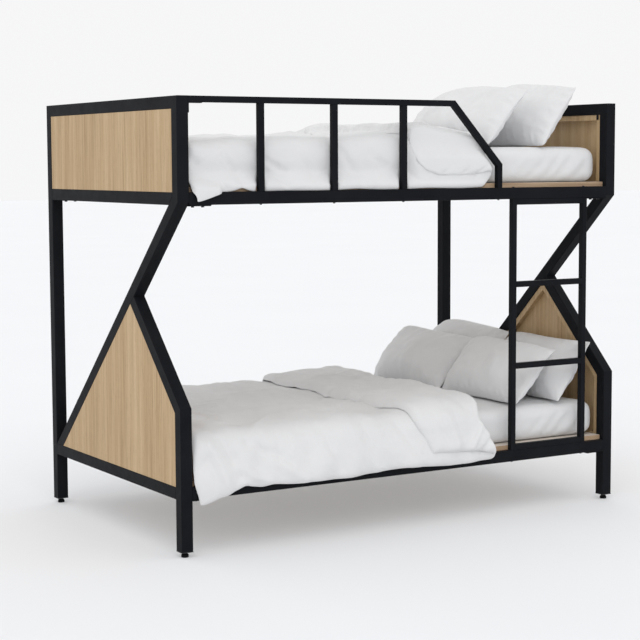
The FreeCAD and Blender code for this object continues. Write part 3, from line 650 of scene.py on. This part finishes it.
# A duvet's plan, which duvet_layout and duvet_points read, holds:
# side        the line it follows across the bed, and flat, how far from the middle it lies flat
# start_at    its x at the foot end; fold_at, where it folds; loose_at, where the flap ends: each
#             as a function of the distance across the bed, negative at the front
# front_hem   how low it hangs, as z for x, and likewise back_hem and the two hems of the flap
# thick       the thickness of the lower layer and of the flap, and hang_thin, the share of it
#             that the hanging part loses
# lip         how blunt the flap's loose edge is, and tucked, how far that edge is pressed down
# folds       how far the surface stands out, flap_folds what the flap adds, and puffs the share
#             of its thickness by which the upper face swells
# warp        what finally moves every point


def duvet_layout(plan, v, c):
    """Where the grid lies, seen from above.

    Gives the distance across the bed, x on each part, and how far in each point is from the hem
    and from its layer's end.
    """
    flat = plan["flat"]
    rough_a = spread(c, flat, ROUGH_HANG)
    turn = plan["fold_at"](rough_a)
    loose = plan["loose_at"](rough_a)
    start = plan["start_at"](rough_a)
    x_low = start + (turn - start) * np.clip(v, 0, 1)
    x_flap = turn + (loose - turn) * np.clip(v - 2, 0, 1)
    hem = np.where(c < 0, plan["front_hem"](x_low), plan["back_hem"](x_low))
    flap_hem = np.where(c < 0, plan["front_flap_hem"](x_flap), plan["back_flap_hem"](x_flap))
    on_flap = smooth(v - 1)
    reach = plan["side"].down_to(hem * (1 - on_flap) + flap_hem * on_flap)
    a = spread(c, flat, reach - flat)
    end_gap = by_part(v, x_low - start, 1.0, (x_flap - loose) * plan["lip"])
    return a, (x_low, turn, x_flap), reach - np.abs(a), end_gap


def duvet_points(plan):
    """The two faces of a folded-back duvet as grids of points, and their size."""
    v, c = duvet_grid()
    a, (x_low, turn, x_flap), hem_gap, end_gap = duvet_layout(plan, v, c)

    # the middle of the filling: its height off the bed and the way it faces
    hanging = smooth((np.abs(a) - plan["flat"]) / HANG_TURN)
    t1, t2 = (thick * (1 - hanging * plan["hang_thin"]) for thick in plan["thick"])
    radius = (t1 + t2) / 4 + LAYER_GAP / 2
    h_low, h_flap = LAYER_GAP + t1 / 2, LAYER_GAP * 2 + t1 + t2 / 2
    theta = np.pi * np.clip(v - 1, 0, 1)
    x = by_part(v, x_low, turn + radius * np.sin(theta), x_flap)
    h = by_part(v, h_low, (h_low + h_flap) / 2 - radius * np.cos(theta), h_flap)
    dx = by_part(v, 0.0, -np.sin(theta), 0.0)
    dh = by_part(v, 1.0, np.cos(theta), -1.0)
    t = by_part(v, t1, t1 + (t2 - t1) * (v - 1), t2)

    # thin at the sewn edges, with the flap's lip tucked down onto the layer below
    swell = edge_round(np.minimum(hem_gap, end_gap), HEM_ROUND)
    sink = t * (1 - swell) / 2 * np.where(v >= 1.5, 0.86, 0.0)
    t = np.maximum(t * swell, HEM_THICK)
    h = h - sink - plan["tucked"] * (1 - edge_round(end_gap, LIP_ROUND)) * (v >= 2)
    h = h + plan["folds"](x, a)
    h = h + plan["flap_folds"](x, a) * smooth((v - 1.6) * 1.5)
    y, z, ny, nz = plan["side"].at(a)
    puff = plan["puffs"](x, a) * t
    faces = []
    for sign in (-1, 1):
        puffed = (v < 1) if sign == 1 else (v >= 2)
        grow = sign * (t / 2 + puff * puffed)
        off = h + grow * dh
        faces.append(plan["warp"](np.stack([x + grow * dx, y + off * ny, z + off * nz], -1)))
    return faces, v.shape


def make_duvet(node, plan, material, cap):
    """A filled duvet from its plan, softened by cloth that moves it by up to cap."""
    faces, (rows, columns) = duvet_points(plan)
    points = np.concatenate([face.reshape(-1, 3) for face in faces])
    obj = mesh_object(node + "_filled", points, shell_faces(rows, columns), material, 1)
    outward(obj)
    settle(obj, frames=22, pressure=1.5, cap=cap, shrink=-0.06, hold=0.12)
    return finish_piece(obj, node)


def profile(*points):
    """A smooth line through (where, value) points, as a function of an array."""
    at = np.array([p[0] for p in points])
    value = np.array([p[1] for p in points])
    order = np.argsort(at)
    at, value = at[order], value[order]

    def read(x):
        k = np.clip(np.searchsorted(at, x) - 1, 0, len(at) - 2)
        t = np.clip((x - at[k]) / (at[k + 1] - at[k]), 0, 1)
        s = t * t * (3 - 2 * t) * 0.5 + t * 0.5
        return value[k] + (value[k + 1] - value[k]) * s
    return read


def ridges(x, a, size, seed, lean):
    """Crisp soft-footed creases from 0 to 1, drawn out along a direction leaning by lean."""
    u = x * math.cos(lean) + a * math.sin(lean)
    w = a * math.cos(lean) - x * math.sin(lean)
    bend = 0.35 * size * wander(x, a, size * 1.6, seed + 50, 2)
    n = wander((u + bend) * 0.42, w + bend, size, seed, 2)
    return np.maximum(1 - np.abs(n) * 3.2, 0) ** 2 * smooth(
        0.5 + 1.6 * wander(x, a, size * 1.9, seed + 9, 2))


def creases(x, a, seed, calm=1.0):
    """Broad swells, long soft folds and small crumples, in metres off the surface."""
    broad = wander(x, a, 0.50, seed, 2) * 20 * MM
    middle = wander(x, a * 0.8, 0.21, seed + 1, 2) * 9 * MM
    long_folds = ridges(x, a, 0.34, seed + 2, 0.9) * 9 * MM - ridges(
        x, a, 0.30, seed + 3, -0.55) * 8 * MM
    short_folds = ridges(x, a, 0.15, seed + 4, 0.35) * 3.5 * MM - ridges(
        x, a, 0.13, seed + 5, 1.9) * 3.5 * MM
    small = wander(x, a, 0.06, seed + 6, 3) * 2.2 * MM
    return (broad + middle + long_folds + short_folds + small) * calm


# folds in the front of each duvet, as fold_lines takes them, in x and z
LOWER_DRAPES = [
    (-0.97, 0.44, -0.90, 0.25, 0.024, 12), (-0.91, 0.46, -0.84, 0.31, 0.020, -11),
    (-0.86, 0.34, -0.72, 0.27, 0.018, 10), (-0.80, 0.43, -0.62, 0.34, 0.022, -9),
    (-0.70, 0.36, -0.55, 0.26, 0.022, 9), (-0.45, 0.46, -0.38, 0.29, 0.028, -7),
    (-0.30, 0.40, -0.20, 0.27, 0.024, 9), (-0.08, 0.44, 0.0, 0.31, 0.020, -8),
    (0.16, 0.47, 0.20, 0.33, 0.020, 9), (0.36, 0.44, 0.27, 0.32, 0.016, 11),
    (0.40, 0.37, 0.33, 0.30, 0.013, -10)]
UPPER_DRAPES = [
    (-1.04, 1.58, -1.00, 1.54, 0.020, -9), (-0.88, 1.57, -0.80, 1.47, 0.016, -7),
    (-0.95, 1.47, -0.87, 1.445, 0.014, -7), (-0.71, 1.565, -0.60, 1.505, 0.015, -8),
    (-0.69, 1.505, -0.60, 1.455, 0.014, -7), (-0.55, 1.59, -0.47, 1.49, 0.018, -6),
    (-0.34, 1.58, -0.24, 1.47, 0.016, -7), (-0.20, 1.57, -0.12, 1.52, 0.016, -6),
    (0.03, 1.54, 0.12, 1.60, 0.013, -6), (0.16, 1.50, 0.24, 1.57, 0.012, -7),
    (0.27, 1.50, 0.33, 1.57, 0.012, -7), (0.33, 1.49, 0.385, 1.53, 0.010, -8)]


def lower_duvet(material):
    """The lower duvet: it hangs over the front rail, and its near foot corner droops."""
    (x0, _, z0), (x1, _, _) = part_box("lower_duvet")
    _, (_, edge, top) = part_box("lower_mattress")
    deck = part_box("lower_deck")
    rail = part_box("lower_front_rail")
    side = Side([(0, top), (edge + 8 * MM, top + 1 * MM),
                 (-rail[0][1] + 1.5 * MM, deck[1][2] + 25 * MM),
                 (-rail[0][1] + 2 * MM, z0 - 0.12)], 95 * MM)

    def warp(p):
        x, y, z = p[..., 0], p[..., 1], p[..., 2]
        low = smooth((0.43 - z) / 0.17) * (np.abs(y) > 0.6)
        wave = np.sin(x * 17 + 9 * z + 1.6 * np.sin(x * 6.1)) + 0.6 * np.sin(x * 41 - 14 * z)
        y = y + np.sign(y) * np.maximum(wave, -0.2) * 9 * MM * low
        front = (y < 0) * smooth((np.abs(y) - 0.60) / 0.04)
        y = y - front * fold_lines(x, z, LOWER_DRAPES)
        x, y = round_far_corner(x, y, x0, edge + 90 * MM, FAR_CORNER + 50 * MM)
        return np.stack([x, y, z], -1)

    hem = profile((-1.045, 0.203), (-1.0, 0.204), (-0.919, 0.229), (-0.87, 0.25),
                  (-0.824, 0.266), (-0.79, 0.259), (-0.75, 0.252), (-0.70, 0.258), (-0.589, 0.25),
                  (-0.345, 0.249), (-0.061, 0.263), (0.177, 0.248), (0.385, 0.253), (0.43, 0.262))
    plan = {
        "side": side, "flat": edge - 25 * MM,
        "start_at": profile((-0.90, x0 + 0.038), (-0.84, x0 + 0.018), (-0.76, x0 - 0.002),
                            (-0.6, x0 + 0.004), (0.9, x0 + 0.004)),
        "thick": (40 * MM, 36 * MM), "hang_thin": 0.36, "lip": 0.6, "tucked": 1 * MM,
        "fold_at": profile((-0.87, x1 - 0.035), (-0.76, x1 - 0.070), (-0.66, x1 - 0.125),
                           (-0.58, x1 - 0.105), (-0.30, x1 - 0.050), (0.2, x1 - 0.04),
                           (0.62, x1 - 0.05), (0.87, x1 - 0.05)),
        "loose_at": profile((-0.87, 0.075), (-0.80, 0.055), (-0.64, -0.005), (-0.42, -0.045),
                            (-0.30, -0.04), (-0.18, -0.055), (0.0, -0.075), (0.3, -0.055),
                            (0.45, -0.06), (0.66, -0.02), (0.87, 0.0)),
        "front_hem": hem, "back_hem": profile((-1.045, 0.33), (-0.8, 0.37), (0.0, 0.35),
                                              (0.43, 0.36)),
        "front_flap_hem": profile((-0.1, 0.312), (0.1, 0.305), (0.3, 0.298), (0.43, 0.275)),
        "back_flap_hem": profile((-0.1, 0.40), (0.43, 0.39)),
        "folds": lambda x, a: creases(x, a, 3, 1.15) * (0.6 + 0.4 * smooth(
            (0.80 - np.abs(a)) / 0.12)) + 8 * MM * smooth((np.abs(a) - 0.55) / 0.1),
        "flap_folds": lambda x, a: 5 * MM * wander(x, a, 0.16, 21, 3),
        "puffs": lambda x, a: 0.18 * wander(x, a, 0.24, 12, 2),
        "warp": warp}
    return make_duvet("lower_duvet", plan, material, 12 * MM)


BALUSTERS = (-0.725, -0.384, -0.045)       # where the guard's balusters stand along the bed


class Guard:
    """The upper guard's bars, and the room they leave the duvet that hangs behind them."""

    def __init__(self):
        (post_x0, _, _), (post_x1, _, _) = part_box("guard_end_post")
        self.posts = (*BALUSTERS, (post_x0 + post_x1) / 2)
        self.post_half = (post_x1 - post_x0) / 2
        self.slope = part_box("guard_slope")

    def clear(self, x):
        """0 beside an upright, 1 in the middle of the bay."""
        away = np.min([np.abs(x - at) - self.post_half for at in self.posts], axis=0)
        return smooth((away + 6 * MM) / (11 * MM))

    def below_slope(self, x, z):
        """0 beside the sloped tube, 1 further below it."""
        (x0, _, z0), (x1, _, z1) = self.slope
        away = ((x0 - x) * (z1 - z0) + (z1 - z) * (x1 - x0)) / math.hypot(x1 - x0, z1 - z0)
        return smooth((away - 16 * MM) / (32 * MM))

    def room(self, x, z):
        """How far past the mattress the front may hang: in the bays, the flap, the corner."""
        bay = 30 * MM * self.clear(x) * smooth((1.515 - z) / 0.07)
        tip = smooth((-0.865 - x) / 0.06) * smooth((x + 1.046) / 0.02)
        flap = 24 * MM * self.clear(x) * smooth((x + 0.02) / 0.06) * smooth((1.63 - z) / 0.08)
        flap = flap * self.below_slope(x, z)
        return np.maximum(np.maximum(bay, flap), 56 * MM * tip * smooth((1.50 - z) / 0.062))


def upper_hem(guard):
    """How low the upper duvet's front hangs: behind the balusters it stays up on the deck."""
    bay = profile((-1.045, 1.392), (-1.018, 1.392), (-0.885, 1.427), (-0.848, 1.431),
                  (-0.808, 1.444), (-0.780, 1.434), (-0.755, 1.428), (-0.60, 1.430),
                  (-0.48, 1.428), (-0.384, 1.429), (-0.28, 1.434), (-0.15, 1.429),
                  (-0.045, 1.429), (0.08, 1.433), (0.25, 1.429), (0.365, 1.433),
                  (0.398, 1.460), (0.425, 1.498))

    def hem(x):
        behind = np.maximum(bay(x), 1.4525 - 0.026 * guard.clear(x))
        return np.where(x < -0.80, bay(x), behind)
    return hem


def upper_duvet(material):
    """The upper duvet: it fills the guard's bays, and its near foot corner hangs over the rail."""
    (x0, _, _), (x1, _, _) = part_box("upper_duvet")
    _, (_, edge, top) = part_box("upper_mattress")
    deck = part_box("upper_deck")
    side = Side([(0, top), (edge + 2 * MM, top), (edge + 3 * MM, deck[1][2] + 20 * MM),
                 (edge + 5 * MM, deck[1][2] - 0.14)], 72 * MM)
    guard = Guard()

    def warp(p):
        x, y, z = p[..., 0], p[..., 1], p[..., 2]
        front = (y < 0) * smooth((np.abs(y) - 0.5) / 0.08)
        y = y - front * (guard.room(x, z) + fold_lines(x, z, UPPER_DRAPES))
        hump = (19 * MM * bell(x, -0.22, 0.28) + 18 * MM * bell(x, 0.08, 0.2) + 14 * MM
                * smooth((0.1 - x) / 0.2) * smooth((y + 0.05) / 0.3)) * smooth((z - 1.50) / 0.12)
        return np.stack([x, y, z + hump], -1)

    plan = {
        "side": side, "flat": edge - 25 * MM,
        "start_at": profile((-0.84, x0 + 0.020), (-0.80, x0 + 0.006), (-0.74, x0 + 0.001),
                            (0.9, x0 + 0.004)),
        "thick": (34 * MM, 36 * MM), "hang_thin": 0.66, "lip": 0.3, "tucked": 7 * MM,
        "fold_at": profile((-0.82, x1 + 0.010), (-0.76, x1 - 0.004), (-0.70, x1 - 0.026),
                           (-0.62, x1 - 0.045), (-0.3, x1 - 0.04), (0.5, x1 - 0.045),
                           (0.8, x1 - 0.05)),
        "loose_at": profile((-0.80, -0.02), (-0.67, -0.035), (-0.61, -0.09), (-0.52, -0.20),
                            (-0.40, -0.235), (-0.20, -0.20), (0.0, -0.13), (0.3, 0.02),
                            (0.5, 0.12), (0.8, 0.20)),
        "front_hem": upper_hem(guard),
        "back_hem": profile((-1.045, 1.47), (0.0, 1.462), (0.43, 1.47)),
        "front_flap_hem": profile((-0.08, 1.62), (-0.02, 1.598), (0.036, 1.527), (0.08, 1.503),
                                  (0.138, 1.488), (0.25, 1.486), (0.35, 1.493), (0.40, 1.502)),
        "back_flap_hem": profile((-0.1, 1.50), (0.4, 1.50)),
        "folds": lambda x, a: creases(x, a, 8) * (0.18 + 0.82 * smooth(
            (0.63 - np.abs(a)) / 0.12)),
        "flap_folds": lambda x, a: 5 * MM * wander(x, a, 0.16, 31, 3),
        "puffs": lambda x, a: 0.2 * wander(x, a, 0.2, 17, 2),
        "warp": warp}
    obj = make_duvet("upper_duvet", plan, material, 6 * MM)
    hold_back(obj, guard, edge)
    return obj


def hold_back(obj, guard, edge):
    """Keeps the swollen duvet from passing the guard in front or the mattress behind."""
    points = coordinates(obj)
    soft = 8 * MM
    for sign, reach in ((-1, 28.5 * MM + edge + guard.room(points[:, 0], points[:, 2])),
                        (1, edge + 40 * MM)):
        past = points[:, 1] * sign - (reach - soft)
        points[:, 1] -= sign * np.where(past > 0, past - soft * np.tanh(past / soft), 0)
    set_coordinates(obj, points)


# ---------------------------------------------------------------- studio and camera

def floor():
    """A wide plain floor, just under the feet."""
    reach = 60.0
    count = 5
    grid = np.linspace(-reach, reach, count)
    points = [(x, y, -0.5 * MM) for x in grid for y in grid]
    faces = [[i * count + j, (i + 1) * count + j, (i + 1) * count + j + 1, i * count + j + 1]
             for i in range(count - 1) for j in range(count - 1)]
    obj = mesh_object("studio_floor", points, faces, studio_floor("floor_paper"))


def lights():
    """An even white sky and one broad soft light from above, in front and the foot end."""
    world = bpy.data.worlds.new("studio")
    world.use_nodes = True
    back = world.node_tree.nodes["Background"]
    back.inputs["Color"].default_value = (0.925, 0.925, 0.93, 1)
    back.inputs["Strength"].default_value = 1.0
    bpy.context.scene.world = world
    lamp = bpy.data.lights.new("overhead_softbox", "SUN")
    lamp.energy = 0.64
    lamp.angle = math.radians(46)
    lamp.color = (1.0, 0.995, 0.985)
    obj = bpy.data.objects.new("overhead_softbox", lamp)
    bpy.context.scene.collection.objects.link(obj)
    towards = Vector((0.35, 0.58, -0.73))
    obj.rotation_euler = towards.to_track_quat("-Z", "Y").to_euler()


# the photograph's camera, solved from the edges of the frame: metres, radians, millimetres
CAMERA_PLACE = (-3.93987, -6.39162, 1.54306)
CAMERA_YAW, CAMERA_PITCH, CAMERA_ROLL = 0.5451, 0.09475, -0.00439
CAMERA_LENS, CAMERA_SENSOR = 93.39, 36.0


def camera():
    """The photograph's viewpoint: yaw from +Y towards +X, pitch downwards."""
    cy, sy, cp, sp = (math.cos(CAMERA_YAW), math.sin(CAMERA_YAW), math.cos(CAMERA_PITCH),
                      math.sin(CAMERA_PITCH))
    forward = Vector((sy * cp, cy * cp, -sp))
    right = Vector((cy, -sy, 0))
    up = right.cross(forward)
    cr, sr = math.cos(CAMERA_ROLL), math.sin(CAMERA_ROLL)
    turned_right, turned_up = right * cr + up * sr, up * cr - right * sr
    lens = bpy.data.cameras.new("camera")
    lens.lens, lens.sensor_width = CAMERA_LENS, CAMERA_SENSOR
    lens.clip_end = 200
    obj = bpy.data.objects.new("camera", lens)
    bpy.context.scene.collection.objects.link(obj)
    turn = Matrix((turned_right, turned_up, -forward)).transposed().to_4x4()
    obj.matrix_world = Matrix.Translation(CAMERA_PLACE) @ turn
    bpy.context.scene.camera = obj


# ---------------------------------------------------------------- the whole

# the light and the dark tone of each white cotton
COVER_WHITES = (0.745, 0.747, 0.752), (0.715, 0.717, 0.722)
SHEET_WHITES = (0.738, 0.740, 0.746), (0.706, 0.708, 0.714)
FIRST_PILLOW_SEED, PILLOW_SEED_STEP = 40, 3


def dress_frame():
    """Gives each CAD piece its finish, by the slot the record names for it."""
    finishes = {"black_steel": powder_coat("black_powder_coat", (0.0082, 0.0088, 0.0108),
                                           (0.0122, 0.0130, 0.0154), 0.42),
                "fastener_steel": zinc("black_zinc"),
                "foot_steel": powder_coat("satin_black", (0.006, 0.006, 0.007),
                                          (0.012, 0.012, 0.013), 0.36),
                "plug_plastic": moulded_plastic("black_plastic"),
                "oak_panel": oak("oak_veneer"), "deck_board": plywood("birch_plywood")}
    for node, obj in NODES.items():
        slot = obj.data.materials[0].name.split(".")[0]
        if slot in finishes:
            obj.data.materials.clear()
            obj.data.materials.append(finishes[slot])


bpy.context.scene.view_settings.view_transform = "Standard"
dress_frame()
sheet_cotton = cotton("mattress_sheet", *SHEET_WHITES, 0.5)
duvet_cotton = cotton("duvet_cotton", *COVER_WHITES, 1.0)
pillow_cotton = cotton("pillow_cotton", *COVER_WHITES, 0.8)
mattress("upper_mattress", sheet_cotton, 1)
mattress("lower_mattress", sheet_cotton, 2, FAR_CORNER)
for number, pillow_node in enumerate(PILLOWS):
    pillow(pillow_node, pillow_cotton, FIRST_PILLOW_SEED + PILLOW_SEED_STEP * number)
lower_duvet(duvet_cotton)
upper_duvet(duvet_cotton)
floor()
lights()
camera()
